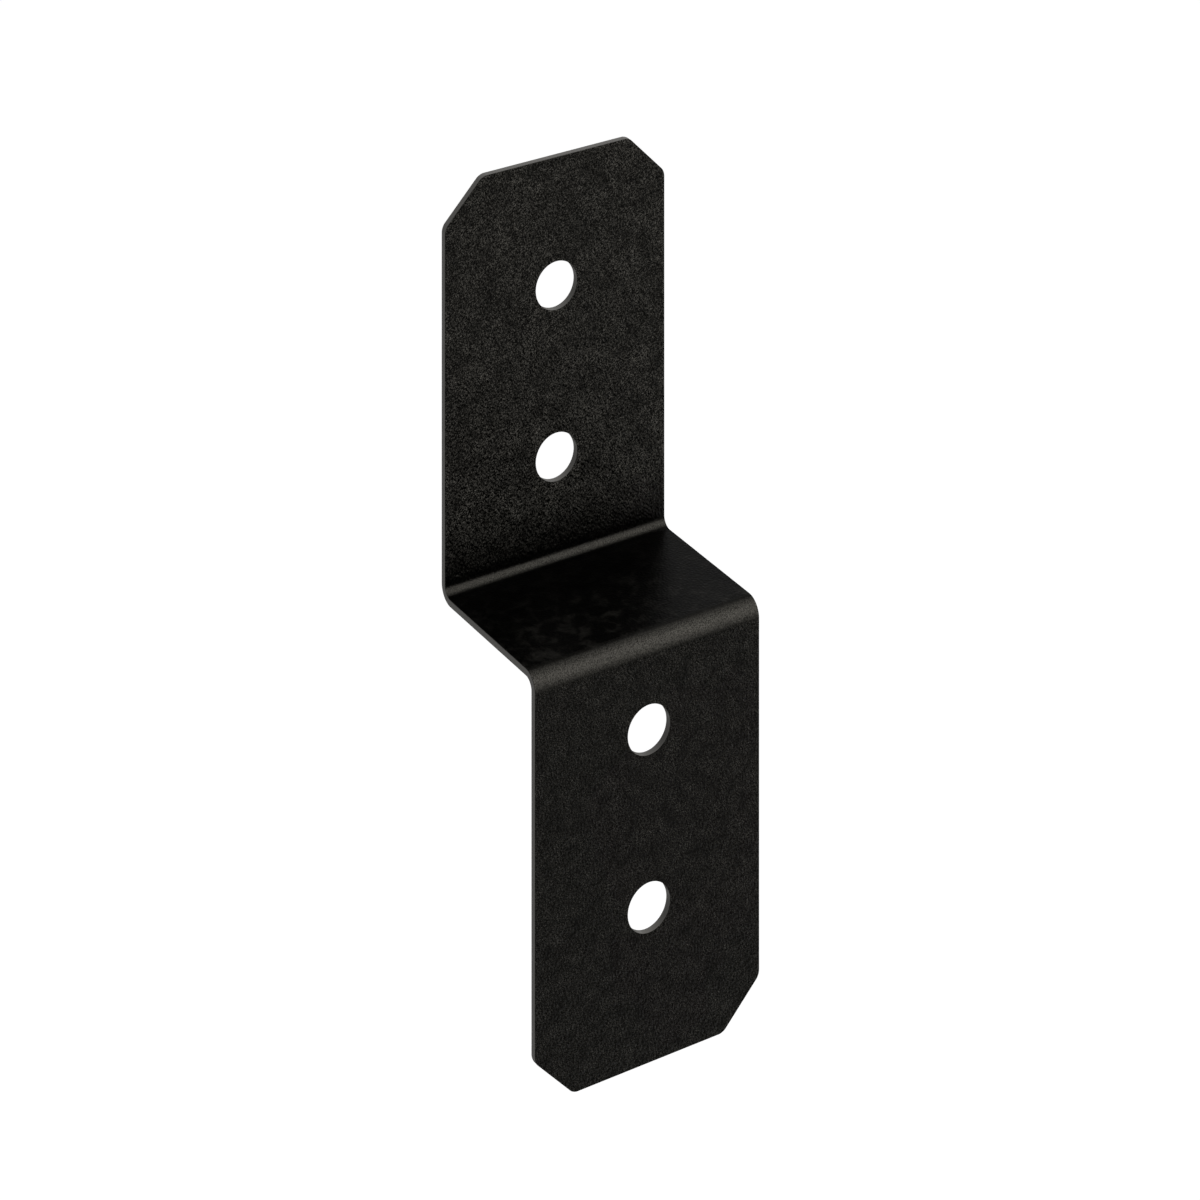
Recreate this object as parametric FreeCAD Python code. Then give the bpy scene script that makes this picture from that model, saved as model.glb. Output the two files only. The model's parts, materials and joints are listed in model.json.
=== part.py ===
"""Deck joist tie: one strip of sheet steel, cropped, punched and folded twice to a Z.

The post flange lies flat on the face of a post. The shelf lies on top of the joist that runs past
the post, and the joist flange hangs down over the joist's outer face.

Millimetres. +Z is up and +Y points into the post. The origin is on the face that bears on the post,
midway between the two post holes.
"""
import FreeCAD, Part
import math
import os

Vector = FreeCAD.Vector

# Strip
STRIP_WIDTH = 76.2
SHEET_THICKNESS = 2.1
EDGE_ROUND = 0.2

# Folds
SEAT_DEPTH = 50.8
FOLD_INNER_RADIUS = 3.0
POST_FLANGE_RISE = 119.4
JOIST_FLANGE_DROP = 119.4

# Cropped corners
CROP = 12.7
CROP_CORNER_RADIUS = 3.5

# Screw holes
HOLE_DIAMETER = 14.3
POST_HOLE_SPACING = 50.8
POST_HOLE_TO_END = 38.1
JOIST_HOLE_SPACING = 50.8
JOIST_HOLE_TO_END = 44.45

# Levels, from the post holes' midpoint at zero
TOP_END = POST_HOLE_SPACING / 2 + POST_HOLE_TO_END
SHELF_TOP = TOP_END - POST_FLANGE_RISE
SHELF_UNDERSIDE = SHELF_TOP - SHEET_THICKNESS
BOTTOM_END = SHELF_UNDERSIDE - JOIST_FLANGE_DROP

# Depths, from the post's face at zero
POST_FLANGE_FRONT = -SHEET_THICKNESS
JOIST_FLANGE_BACK = -SEAT_DEPTH
JOIST_FLANGE_FRONT = JOIST_FLANGE_BACK - SHEET_THICKNESS

# A cutter reaches this far past the faces that it cuts
CUT_MARGIN = SHEET_THICKNESS


def line(start, end):
    """A straight stretch of the section between two (depth, level) points."""
    return Part.LineSegment(Vector(0, *start), Vector(0, *end)).toShape()


def fold_arc(centre, radius, start_degrees, end_degrees):
    """A fold's arc about a (depth, level) centre, with angles from +Y towards +Z."""
    points = []
    for degrees in (start_degrees, (start_degrees + end_degrees) / 2, end_degrees):
        angle = math.radians(degrees)
        points.append(Vector(0, centre[0] + radius * math.cos(angle), centre[1] + radius * math.sin(angle)))
    return Part.Arc(*points).toShape()


def folded_strip():
    """The Z section, with both folds about their own centres, drawn out over the strip's width."""
    inner = FOLD_INNER_RADIUS
    outer = FOLD_INNER_RADIUS + SHEET_THICKNESS
    upper_centre = (POST_FLANGE_FRONT - inner, SHELF_TOP + inner)
    lower_centre = (JOIST_FLANGE_BACK + inner, SHELF_UNDERSIDE - inner)
    section = Part.Wire([
        line((0, TOP_END), (0, upper_centre[1])),
        fold_arc(upper_centre, outer, 0, -90),
        line((upper_centre[0], SHELF_UNDERSIDE), (lower_centre[0], SHELF_UNDERSIDE)),
        fold_arc(lower_centre, inner, 90, 180),
        line((JOIST_FLANGE_BACK, lower_centre[1]), (JOIST_FLANGE_BACK, BOTTOM_END)),
        line((JOIST_FLANGE_BACK, BOTTOM_END), (JOIST_FLANGE_FRONT, BOTTOM_END)),
        line((JOIST_FLANGE_FRONT, BOTTOM_END), (JOIST_FLANGE_FRONT, lower_centre[1])),
        fold_arc(lower_centre, outer, 180, 90),
        line((lower_centre[0], SHELF_TOP), (upper_centre[0], SHELF_TOP)),
        fold_arc(upper_centre, inner, -90, 0),
        line((POST_FLANGE_FRONT, upper_centre[1]), (POST_FLANGE_FRONT, TOP_END)),
        line((POST_FLANGE_FRONT, TOP_END), (0, TOP_END)),
    ])
    strip = Part.Face(section).extrude(Vector(STRIP_WIDTH, 0, 0))
    strip.translate(Vector(-STRIP_WIDTH / 2, 0, 0))
    return strip


def cropped_outline():
    """The strip's outline from the front, corners cropped and eased, as a block from front to back."""
    half = STRIP_WIDTH / 2
    front = JOIST_FLANGE_FRONT - CUT_MARGIN
    corners = [
        (half - CROP, TOP_END), (half, TOP_END - CROP),
        (half, BOTTOM_END + CROP), (half - CROP, BOTTOM_END),
        (CROP - half, BOTTOM_END), (-half, BOTTOM_END + CROP),
        (-half, TOP_END - CROP), (CROP - half, TOP_END),
    ]
    points = [Vector(across, front, level) for across, level in corners]
    block = Part.Face(Part.makePolygon(points + points[:1])).extrude(Vector(0, CUT_MARGIN - front, 0))
    corner_edges = [edge for edge in block.Edges if abs(edge.tangentAt(edge.FirstParameter).y) > 0.9]
    return block.makeFillet(CROP_CORNER_RADIUS, corner_edges)


def hole_punches(face_depth, end_hole_level, spacing):
    """Two round punches in line, through the flange whose back face lies at face_depth."""
    length = SHEET_THICKNESS + 2 * CUT_MARGIN
    start = face_depth - SHEET_THICKNESS - CUT_MARGIN
    punches = []
    for level in (end_hole_level, end_hole_level + spacing):
        punches.append(Part.makeCylinder(HOLE_DIAMETER / 2, length, Vector(0, start, level), Vector(0, 1, 0)))
    return punches


def is_sharp(shape, edge):
    """True where two faces meet at an angle, and false where a fold or an eased corner runs on smoothly."""
    middle = edge.valueAt((edge.FirstParameter + edge.LastParameter) / 2)
    faces = shape.ancestorsOfType(edge, Part.Face)
    first, second = [face.normalAt(*face.Surface.parameter(middle)) for face in faces]
    return abs(first.dot(second)) < 0.5


def joist_tie():
    """The finished tie: its rim is eased, as shearing and coating leave it, and its holes are punched clean."""
    cropped = folded_strip().common(cropped_outline()).removeSplitter()
    eased = cropped.makeFillet(EDGE_ROUND, [edge for edge in cropped.Edges if is_sharp(cropped, edge)])
    post_punches = hole_punches(0, -POST_HOLE_SPACING / 2, POST_HOLE_SPACING)
    joist_punches = hole_punches(JOIST_FLANGE_BACK, BOTTOM_END + JOIST_HOLE_TO_END, JOIST_HOLE_SPACING)
    return eased.cut(post_punches + joist_punches).Solids[0]


os.makedirs("parts", exist_ok=True)
joist_tie().exportStep("parts/joist_tie.step")
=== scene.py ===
import json
import math

import bmesh
import bpy
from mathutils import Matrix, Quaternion, Vector


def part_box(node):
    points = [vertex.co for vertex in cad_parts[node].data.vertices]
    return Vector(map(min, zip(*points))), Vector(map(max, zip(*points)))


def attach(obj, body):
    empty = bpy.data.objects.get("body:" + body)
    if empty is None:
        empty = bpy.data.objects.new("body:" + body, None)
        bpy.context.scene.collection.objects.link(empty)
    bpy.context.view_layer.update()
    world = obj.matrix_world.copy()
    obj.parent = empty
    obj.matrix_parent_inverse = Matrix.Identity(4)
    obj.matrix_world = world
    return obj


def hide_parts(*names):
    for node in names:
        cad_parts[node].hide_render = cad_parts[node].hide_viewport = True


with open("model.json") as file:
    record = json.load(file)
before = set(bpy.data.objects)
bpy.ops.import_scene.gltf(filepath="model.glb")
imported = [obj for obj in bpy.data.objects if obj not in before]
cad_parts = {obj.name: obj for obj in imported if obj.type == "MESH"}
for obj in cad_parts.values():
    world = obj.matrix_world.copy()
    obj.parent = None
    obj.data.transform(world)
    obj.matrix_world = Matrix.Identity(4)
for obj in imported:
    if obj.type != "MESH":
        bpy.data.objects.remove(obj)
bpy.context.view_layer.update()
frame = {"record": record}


# Folded strip
# The whole tie is one strip of sheet steel, sheared to length, cropped at its corners and folded twice
# on a brake. Its places come from the frame: the ends, the flanges' faces and the seat between them.
FOLD_INNER_RADIUS = 0.0030
FOLD_STEPS = 24
CROP = 0.0127
CROP_CORNER_RADIUS = 0.0035
CROP_CORNER_STEPS = 8
RIM_ROUND = 0.0002
RIM_STEPS = 4
SHARP_ANGLE = math.radians(60)
STRAIGHT_ACROSS = 0.99
CROP_ALLOWANCE = 1.01
MERGE_GAP = 1e-6

mounts = {mount["name"]: mount for mount in frame["record"]["mounts"]}
low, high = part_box("joist_tie")
strip_width = high.x - low.x
joist_flange_back = mounts["joist_side_face"]["pos_m"][1]
shelf_underside = mounts["joist_top_face"]["pos_m"][2]
sheet_thickness = joist_flange_back - low.y
shelf_top = shelf_underside + sheet_thickness
upper_fold = Vector((0, high.y - sheet_thickness - FOLD_INNER_RADIUS, shelf_top + FOLD_INNER_RADIUS))
lower_fold = Vector((0, joist_flange_back + FOLD_INNER_RADIUS, shelf_underside - FOLD_INNER_RADIUS))


def run_on(along, up):
    """Draw the strip's open end on by a straight stretch."""
    bpy.ops.mesh.extrude_region_move(TRANSFORM_OT_translate={"value": (0, along, up)})


def fold_on(centre, degrees):
    """Draw the strip's open end round a fold's centre. Positive degrees turn a downward end to the front."""
    bpy.ops.mesh.spin(steps=FOLD_STEPS, angle=math.radians(degrees), center=centre, axis=(1, 0, 0))


def pick_edges(piece, wanted):
    """In edit mode, select the edges whose middle and direction pass the test, and no others."""
    bpy.ops.mesh.select_mode(type="EDGE")
    bpy.ops.mesh.select_all(action="DESELECT")
    mesh = bmesh.from_edit_mesh(piece.data)
    for edge in mesh.edges:
        first, second = edge.verts
        edge.select_set(wanted((first.co + second.co) / 2, (second.co - first.co).normalized()))
    bmesh.update_edit_mesh(piece.data)


def crosses_sheet_near_end(middle, direction):
    """True for an edge that crosses the sheet's thickness within a cropped corner's reach of an end."""
    to_end = min(high.z - middle.z, middle.z - low.z)
    return abs(direction.y) > STRAIGHT_ACROSS and to_end < CROP_ALLOWANCE * CROP


def apply_bevel(piece, width, steps):
    """Ease every edge that is still sharp."""
    bevel = piece.modifiers.new("ease", "BEVEL")
    bevel.limit_method = "ANGLE"
    bevel.angle_limit = SHARP_ANGLE
    bevel.width = width
    bevel.segments = steps
    bpy.ops.object.modifier_apply(modifier=bevel.name)


bpy.ops.object.select_all(action="DESELECT")
bpy.ops.mesh.primitive_plane_add(size=1, location=(0, high.y - sheet_thickness / 2, high.z))
tie = bpy.context.object
tie.name = "folded_strip"
tie.scale = (strip_width, sheet_thickness, 1)
bpy.ops.object.transform_apply()

bpy.ops.object.mode_set(mode="EDIT")
run_on(0, upper_fold.z - high.z)
fold_on(upper_fold, 90)
run_on(lower_fold.y - upper_fold.y, 0)
fold_on(lower_fold, -90)
run_on(0, low.z - lower_fold.z)
bpy.ops.mesh.select_all(action="SELECT")
bpy.ops.mesh.remove_doubles(threshold=MERGE_GAP)
bpy.ops.mesh.normals_make_consistent(inside=False)

pick_edges(tie, crosses_sheet_near_end)
bpy.ops.mesh.bevel(offset=CROP, offset_type="OFFSET", segments=1, affect="EDGES")
pick_edges(tie, crosses_sheet_near_end)
bpy.ops.mesh.bevel(offset=CROP_CORNER_RADIUS * math.tan(math.radians(45) / 2), offset_type="OFFSET",
                   segments=CROP_CORNER_STEPS, affect="EDGES")
bpy.ops.object.mode_set(mode="OBJECT")
apply_bevel(tie, RIM_ROUND, RIM_STEPS)


# Screw holes
# Four round holes, two in line in each flange, punched through the flat strip with one punch. The post's
# screws pass through the upper two and the joist's through the lower two.
HOLE_SIDES = 128
HOLE_ROUND = 0.0001
HOLE_STEPS = 2
PUNCH_LENGTH = 0.02
MM_PER_METRE = 1000

for name in ("post_screws", "joist_screws"):
    dims = mounts[name]["dims"]
    middle = Vector(mounts[name]["pos_m"])
    hole_radius = dims["hole_r_mm"] / MM_PER_METRE
    spacing = dims["spacing_y_mm"] / MM_PER_METRE
    for side in (-0.5, 0.5):
        hole_place = middle + Vector((0, 0, side * spacing))
        bpy.ops.object.select_all(action="DESELECT")
        bpy.ops.mesh.primitive_cylinder_add(vertices=HOLE_SIDES, radius=hole_radius, depth=PUNCH_LENGTH,
                                            location=hole_place, rotation=(math.radians(90), 0, 0))
        punch = bpy.context.object
        bpy.context.view_layer.objects.active = tie
        cut = tie.modifiers.new("punch", "BOOLEAN")
        cut.object = punch
        cut.operation = "DIFFERENCE"
        cut.solver = "EXACT"
        bpy.ops.object.modifier_apply(modifier=cut.name)
        bpy.data.objects.remove(punch)
apply_bevel(tie, HOLE_ROUND, HOLE_STEPS)

bpy.ops.object.shade_smooth_by_angle(angle=SHARP_ANGLE)
flat_faces = tie.modifiers.new("flat_faces", "WEIGHTED_NORMAL")
flat_faces.keep_sharp = True
bpy.ops.object.modifier_apply(modifier=flat_faces.name)
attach(tie, "root")
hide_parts("joist_tie")


# Black coat
# A black powder coat baked over the zinc, matt and sandy, with a fine grey speck. Its colour holds a painted
# highlight along both folds, painted shade in the corner over the shelf and painted light up the upper
# flange, and it is thin and grey along the sheared and the punched edges.
SHELF_REACH = FOLD_INNER_RADIUS + sheet_thickness
HIGHLIGHT_SHIFT = math.radians(11.5)
OUTER_HIGHLIGHT_START = 0.12
OUTER_HIGHLIGHT_LEAST = 0.1
INNER_HIGHLIGHT_START = 0.66
INNER_HIGHLIGHT_SPAN = 0.5
COAT_SHINE = 0.030
SHINE_TINT = (1, 0.94, 0.82, 1)
STROKE_SIZE = (1.3, 1, 0.75)


def cut_share(face):
    """How far a face has turned from the sheet's own surface towards a sheared or punched edge: 0 to 1."""
    in_shelf = shelf_underside - SHELF_REACH < face.center.z < shelf_top + SHELF_REACH
    along_sheet = math.hypot(face.normal.y, face.normal.z) if in_shelf else abs(face.normal.y)
    return 1 - along_sheet


def painted_highlight_share(face):
    """How much painted highlight a face on a fold's upper side gets, 0 to 1: most where it faces more forward
    than up.
    """
    on_fold = lower_fold.z < face.center.z < upper_fold.z and face.normal.y < 0 and face.normal.z > 0
    slant = math.sin(2 * math.atan2(face.normal.z, -face.normal.y) + HIGHLIGHT_SHIFT)
    if on_fold and face.center.y < lower_fold.y:
        return max(OUTER_HIGHLIGHT_LEAST, (slant - OUTER_HIGHLIGHT_START) / (1 - OUTER_HIGHLIGHT_START))
    if on_fold:
        return max(0, (slant - INNER_HIGHLIGHT_START) / INNER_HIGHLIGHT_SPAN)
    return 0


cut_edge = tie.data.attributes.new("cut_edge", "FLOAT", "FACE")
# painted highlight: each fold face gets a share of lighter colour along the folds' line of light
rub = tie.data.attributes.new("rub", "FLOAT", "FACE")
for face in tie.data.polygons:
    cut_edge.data[face.index].value = cut_share(face)
    rub.data[face.index].value = painted_highlight_share(face)

coat = bpy.data.materials.new("black_coat")
coat.use_nodes = True
nodes, links = coat.node_tree.nodes, coat.node_tree.links
surface = nodes["Principled BSDF"]
surface.inputs["Specular IOR Level"].default_value = COAT_SHINE
surface.inputs["Specular Tint"].default_value = SHINE_TINT
coat_space = nodes.new("ShaderNodeTexCoord")
thin_edge = nodes.new("ShaderNodeAttribute")
thin_edge.attribute_name = "cut_edge"
highlight_reader = nodes.new("ShaderNodeAttribute")
highlight_reader.attribute_name = "rub"


def coat_noise(vector, scale, detail=0, roughness=0.5, distortion=0):
    """A noise in the tie's own space, about one blotch to each 1/scale of a metre."""
    noise = nodes.new("ShaderNodeTexNoise")
    noise.inputs["Scale"].default_value = scale
    noise.inputs["Detail"].default_value = detail
    noise.inputs["Roughness"].default_value = roughness
    noise.inputs["Distortion"].default_value = distortion
    links.new(vector, noise.inputs["Vector"])
    return noise.outputs["Fac"]


def leaning(degrees):
    """The tie's own space drawn out along a line that leans across the strip."""
    strokes = nodes.new("ShaderNodeMapping")
    strokes.vector_type = "TEXTURE"
    strokes.inputs["Rotation"].default_value = (0, math.radians(degrees), 0)
    strokes.inputs["Scale"].default_value = STROKE_SIZE
    links.new(coat_space.outputs["Object"], strokes.inputs["Vector"])
    return strokes.outputs["Vector"]


def spread(value, reach, onto=(0, 1)):
    """Carry a value from one range over to another."""
    ramp = nodes.new("ShaderNodeMapRange")
    ramp.inputs["From Min"].default_value = reach[0]
    ramp.inputs["From Max"].default_value = reach[1]
    ramp.inputs["To Min"].default_value = onto[0]
    ramp.inputs["To Max"].default_value = onto[1]
    links.new(value, ramp.inputs["Value"])
    return ramp.outputs["Result"]


def joined(operation, first, second):
    """Two values joined by one operation."""
    step = nodes.new("ShaderNodeMath")
    step.operation = operation
    links.new(first, step.inputs[0])
    links.new(second, step.inputs[1])
    return step.outputs["Value"]


def times(first, second):
    """The product of two values."""
    return joined("MULTIPLY", first, second)


def largest(first, second):
    """The larger of two values."""
    return joined("MAXIMUM", first, second)


position = nodes.new("ShaderNodeSeparateXYZ")
links.new(coat_space.outputs["Object"], position.inputs["Vector"])
depth = position.outputs["Y"]
height = position.outputs["Z"]

# Which stretch of the strip a point lies on, 0 to 1
UPPER_FLANGE_START = (upper_fold.z - 0.0005, upper_fold.z + 0.0015)
LOWER_FLANGE_START = (lower_fold.z - 0.0005, lower_fold.z + 0.003)
SHELF_END = (shelf_top + 0.0004, shelf_top + 0.0016)
in_upper = spread(height, UPPER_FLANGE_START)
in_lower = spread(height, LOWER_FLANGE_START, (1, 0))
on_flange = largest(spread(height, SHELF_END), in_lower)
on_shelf = spread(on_flange, (0, 1), (1, 0))

# Colour: black with a grey speck, wisps on the shelf, painted shade in the corner, painted light up the upper
# flange, a painted highlight on the folds and the thin edges
CLOUDS_PER_METRE = 210
CLOUD_REACH = (0.30, 0.72)
CLOUD_GREY = (0.0017, 0.0089)
SPECKS_PER_METRE = 3500
SPECK_LEAN = -45
SPECK_REACH = (0.48, 0.78)
SPECK_GAIN = (0, 5.9)
CORNER_SHADE_REACH = (upper_fold.z + 0.0005, upper_fold.z + 0.016)
UPPER_SHADE_TO_LIGHT = (0.08, 1.55)
LOWER_SHADE_AND_MOTTLE = (0.8, 1.05)
WISP_REACH = (0.48, 0.72)
WISP_GREY = (0, 0.0080)
SHELF_CORNER_SHADE = (1.3, 0.1)
PAINTED_HIGHLIGHT_GREY = (0, 0.034)
HIGHLIGHT_SPECK_REACH = (0.3, 0.7)
HIGHLIGHT_SPECK_GAIN = (0.3, 1.7)
COAT_TINT = (1.05, 1.0, 0.88)
THIN_COAT_REACH = (0.2, 0.9)
THIN_COAT_GREY = (0.130, 0.126, 0.119, 1)
cloud = coat_noise(coat_space.outputs["Object"], CLOUDS_PER_METRE, detail=5, roughness=0.68, distortion=0.4)
speck = coat_noise(leaning(SPECK_LEAN), SPECKS_PER_METRE)
# painted shade just over the inner corner, growing to painted light up the upper flange; the lower flange is
# kept darker, with its own mottle
upper_shade_to_light = spread(height, CORNER_SHADE_REACH, UPPER_SHADE_TO_LIGHT)
lower_shade_and_mottle = times(in_lower, spread(cloud, CLOUD_REACH, LOWER_SHADE_AND_MOTTLE))
specked = times(spread(cloud, CLOUD_REACH, CLOUD_GREY), spread(speck, SPECK_REACH, SPECK_GAIN))
specked_and_shaded = times(specked, largest(upper_shade_to_light, lower_shade_and_mottle))
# painted shade on the shelf, darker towards the corner under the upper flange
shelf_corner_shade = spread(depth, (lower_fold.y, upper_fold.y), SHELF_CORNER_SHADE)
shelf_wisps_in_shade = times(times(spread(cloud, WISP_REACH, WISP_GREY), on_shelf), shelf_corner_shade)
# painted highlight along both folds, flecked by the speck
painted_fold_highlight = times(spread(highlight_reader.outputs["Fac"], (0, 1), PAINTED_HIGHLIGHT_GREY),
                    spread(speck, HIGHLIGHT_SPECK_REACH, HIGHLIGHT_SPECK_GAIN))
black = nodes.new("ShaderNodeVectorMath")
black.operation = "SCALE"
black.inputs["Vector"].default_value = COAT_TINT
links.new(largest(largest(specked_and_shaded, shelf_wisps_in_shade), painted_fold_highlight), black.inputs["Scale"])
tone = nodes.new("ShaderNodeMix")
tone.data_type = "RGBA"
links.new(black.outputs["Vector"], tone.inputs["A"])
tone.inputs["B"].default_value = THIN_COAT_GREY
links.new(spread(thin_edge.outputs["Fac"], THIN_COAT_REACH), tone.inputs["Factor"])
links.new(tone.outputs["Result"], surface.inputs["Base Color"])

# Shine: duller on the shelf, and broken up by the sand where a face is seen along its length
SHELF_ROUGHNESS = 0.36
FLANGE_ROUGHNESS = 0.26
SEEN_ALONG = (0.6, 0.85)
BROKEN_ROUGHNESS = (0.2, 0.85)
view_slant = nodes.new("ShaderNodeLayerWeight")
view_slant.inputs["Blend"].default_value = 0.5
plain_roughness = spread(on_flange, (0, 1), (SHELF_ROUGHNESS, FLANGE_ROUGHNESS))
along_roughness = spread(view_slant.outputs["Facing"], SEEN_ALONG, BROKEN_ROUGHNESS)
links.new(largest(plain_roughness, along_roughness), surface.inputs["Roughness"])

# Sandy grain: strong on the flanges, faint on the shelf, none on the edges
GRAINS_PER_METRE = 1250
GRAIN_LEAN = 60
GRAIN_HEIGHT = 0.0006
SHELF_GRAIN = 0.12
FLANGE_GRAIN = 0.7
SMOOTH_EDGE = (0.05, 0.4)
grain = coat_noise(leaning(GRAIN_LEAN), GRAINS_PER_METRE)
grain_share = spread(largest(in_upper, in_lower), (0, 1), (SHELF_GRAIN, FLANGE_GRAIN))
off_edges = spread(thin_edge.outputs["Fac"], SMOOTH_EDGE, (1, 0))
relief = nodes.new("ShaderNodeBump")
relief.inputs["Strength"].default_value = 1
relief.inputs["Distance"].default_value = GRAIN_HEIGHT
links.new(times(times(grain, grain_share), off_edges), relief.inputs["Height"])
links.new(relief.outputs["Normal"], surface.inputs["Normal"])
tie.data.materials.append(coat)


# Floor
# A plain studio floor, painted grey and lit white to the eye and in reflections. It lies well below the
# tie, which hangs free as it does on its post.
FLOOR_DROP = 1.2
FLOOR_SIZE = 60
FLOOR_GREY = 0.35
FLOOR_GLOW = 0.89
bpy.ops.object.select_all(action="DESELECT")
bpy.ops.mesh.primitive_plane_add(size=FLOOR_SIZE, location=(0, 0, low.z - FLOOR_DROP))
floor = bpy.context.object
floor.name = "floor"


def seen_rays(nodes, links):
    """1 for the rays that show a surface to the eye, straight or in a reflection or through glass, else 0."""
    path = nodes.new("ShaderNodeLightPath")
    share = path.outputs["Is Camera Ray"]
    for kind in ("Is Glossy Ray", "Is Transmission Ray"):
        either = nodes.new("ShaderNodeMath")
        either.operation = "MAXIMUM"
        links.new(share, either.inputs[0])
        links.new(path.outputs[kind], either.inputs[1])
        share = either.outputs["Value"]
    return share


white = bpy.data.materials.new("white_floor")
white.use_nodes = True
nodes, links = white.node_tree.nodes, white.node_tree.links
paint = nodes["Principled BSDF"]
paint.inputs["Base Color"].default_value = (FLOOR_GREY, FLOOR_GREY, FLOOR_GREY, 1)
paint.inputs["Roughness"].default_value = 1
paint.inputs["Specular IOR Level"].default_value = 0
paint.inputs["Emission Color"].default_value = (1, 1, 1, 1)
glow = nodes.new("ShaderNodeMath")
glow.operation = "MULTIPLY"
glow.inputs[1].default_value = FLOOR_GLOW
links.new(seen_rays(nodes, links), glow.inputs[0])
links.new(glow.outputs["Value"], paint.inputs["Emission Strength"])
white.cycles.emission_sampling = "NONE"
floor.data.materials.append(white)


# Light
# White walls stand all round under a grey ceiling. Two strip boxes at the front right draw the light along
# the folds and the flanges, one overhead rounds the lower fold, and one at the left shows the cut edges.
WALL_TOP = math.radians(11)
WALL_BLUR = math.radians(6)
CEILING_LEVEL = 0.58
FILL_LEVEL = 0.3

world = bpy.data.worlds.new("white_room")
bpy.context.scene.world = world
world.use_nodes = True
world.cycles.sampling_method = "NONE"
nodes, links = world.node_tree.nodes, world.node_tree.links
fill = nodes["Background"]
fill.inputs["Color"].default_value = (1, 1, 1, 1)
fill.inputs["Strength"].default_value = FILL_LEVEL
room = nodes.new("ShaderNodeBackground")
room.inputs["Color"].default_value = (1, 1, 1, 1)
direction = nodes.new("ShaderNodeTexCoord")
upward = nodes.new("ShaderNodeSeparateXYZ")
links.new(direction.outputs["Generated"], upward.inputs["Vector"])
wall = nodes.new("ShaderNodeMapRange")
wall.interpolation_type = "SMOOTHSTEP"
wall.inputs["From Min"].default_value = math.sin(WALL_TOP - WALL_BLUR)
wall.inputs["From Max"].default_value = math.sin(WALL_TOP + WALL_BLUR)
wall.inputs["To Min"].default_value = 1
wall.inputs["To Max"].default_value = CEILING_LEVEL
links.new(upward.outputs["Z"], wall.inputs["Value"])
links.new(wall.outputs["Result"], room.inputs["Strength"])
either = nodes.new("ShaderNodeMixShader")
links.new(seen_rays(nodes, links), either.inputs["Fac"])
links.new(fill.outputs["Background"], either.inputs[1])
links.new(room.outputs["Background"], either.inputs[2])
links.new(either.outputs["Shader"], nodes["World Output"].inputs["Surface"])


def softbox(name, place, lean, width, height, brightness):
    """A softbox at a place measured from the tie's middle, which it faces, upright but for its lean."""
    lamp = bpy.data.lights.new(name, "AREA")
    lamp.shape = "RECTANGLE"
    lamp.size = width
    lamp.size_y = height
    lamp.energy = brightness * math.pi * width * height
    box = bpy.data.objects.new(name, lamp)
    bpy.context.scene.collection.objects.link(box)
    box.location = (low + high) / 2 + Vector(place)
    facing = Vector(place).to_track_quat("Z", "Y")
    box.rotation_euler = (facing @ Quaternion((0, 0, 1), math.radians(lean))).to_euler()
    box.visible_camera = False


softbox("key_strip", place=(0.693, -1.067, 0.795), lean=-24, width=0.39, height=1.53, brightness=13)
softbox("low_strip", place=(0.225, -0.530, 0.02), lean=0, width=0.17, height=0.36, brightness=3.8)
softbox("back_box", place=(0.346, 0.242, 0.906), lean=0, width=0.6, height=0.6, brightness=1.4)
softbox("left_box", place=(-1.2, 0.25, 0.2), lean=0, width=0.8, height=0.8, brightness=1.8)


# Camera
# It keeps the photograph's place and turn. The photograph looks down and yet keeps upright lines parallel,
# as a view camera does with its back held upright, so the stand slants the camera's up axis to match.
TURN = math.radians(31.986)
LOOK_DOWN = math.radians(27.873)
CAMERA_PLACE = (-0.63958, -1.050476, 0.581629)
LENS = 140.62
SENSOR_WIDTH = 36
LEAN_ON_STAND = math.radians(-45)
half_angle = (math.radians(90) - LOOK_DOWN) / 2
stand = bpy.data.objects.new("camera_stand", None)
stand.location = CAMERA_PLACE
stand.rotation_euler = (math.radians(90) + half_angle, 0, -TURN)
stand.scale = (1, 1 / math.tan(half_angle), 1)
camera_data = bpy.data.cameras.new("camera")
camera_data.lens = LENS
camera_data.sensor_width = SENSOR_WIDTH
camera = bpy.data.objects.new("camera", camera_data)
camera.parent = stand
camera.rotation_euler = (LEAN_ON_STAND, 0, 0)
bpy.context.scene.collection.objects.link(stand)
bpy.context.scene.collection.objects.link(camera)
bpy.context.scene.camera = camera

bpy.context.scene.view_settings.view_transform = "Standard"
